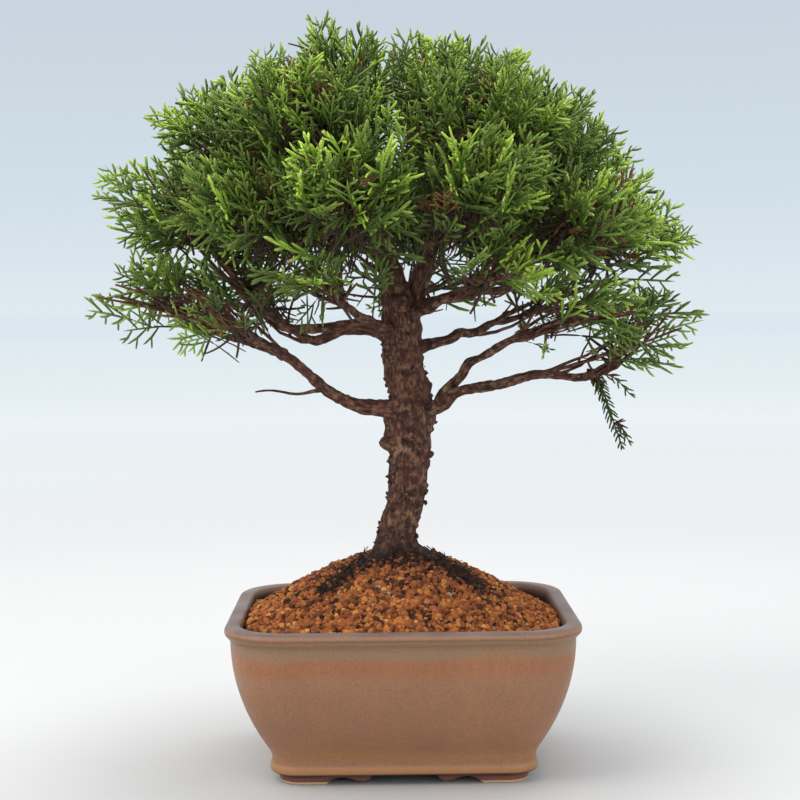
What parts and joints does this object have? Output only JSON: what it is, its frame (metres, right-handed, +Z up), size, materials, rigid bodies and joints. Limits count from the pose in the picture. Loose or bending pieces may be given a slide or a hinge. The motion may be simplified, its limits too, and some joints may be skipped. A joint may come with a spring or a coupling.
{
  "type": "potted bonsai tree",
  "caption": "Small conifer bonsai with a short straight trunk and a broad domed canopy, in a glazed rectangular pot on cloud-cut feet.",
  "frame": {"origin": "on the ground under the middle of the pot, which is the middle of the whole object's box", "axes": "+Z up; the pot's long side along X; the front of the tree faces -Y"},
  "size_m": [0.2728, 0.2044, 0.3234],
  "materials": {
    "pot_glaze": "satin",
    "drain_mesh_plastic": "matte",
    "clip_wire": "satin",
    "tie_wire": "satin",
    "grit": "matte",
    "soil": "matte",
    "bark": "matte",
    "foliage": "matte",
    "hanging_foliage": "matte"
  },
  "bodies": {
    "root": {"pot": "pot_glaze", "drain_mesh_left": "drain_mesh_plastic", "drain_mesh_right": "drain_mesh_plastic", "mesh_clip_left": "clip_wire", "mesh_clip_right": "clip_wire", "tie_wire": "tie_wire", "drainage_grit": "grit", "soil": "soil", "trunk_and_limbs": "bark", "hanging_shoot": "hanging_foliage", "pad_low_far_left": "foliage", "pad_low_left_front": "foliage", "pad_low_left_back": "foliage", "pad_low_front_left": "foliage", "pad_low_front_right": "foliage", "pad_low_far_right": "foliage", "pad_low_right_front": "foliage", "pad_low_right_back": "foliage", "pad_low_back": "foliage", "pad_mid_far_left": "foliage", "pad_mid_left_front": "foliage", "pad_mid_left_back": "foliage", "pad_mid_front_left": "foliage", "pad_mid_front_right": "foliage", "pad_mid_right_front": "foliage", "pad_mid_far_right": "foliage", "pad_mid_right_back": "foliage", "pad_mid_back": "foliage", "pad_high_left": "foliage", "pad_high_left_front": "foliage", "pad_high_left_back": "foliage", "pad_high_right_front": "foliage", "pad_high_right": "foliage", "pad_high_right_back": "foliage", "pad_crown_left": "foliage", "pad_crown_right": "foliage"}
  },
  "joints": []
}
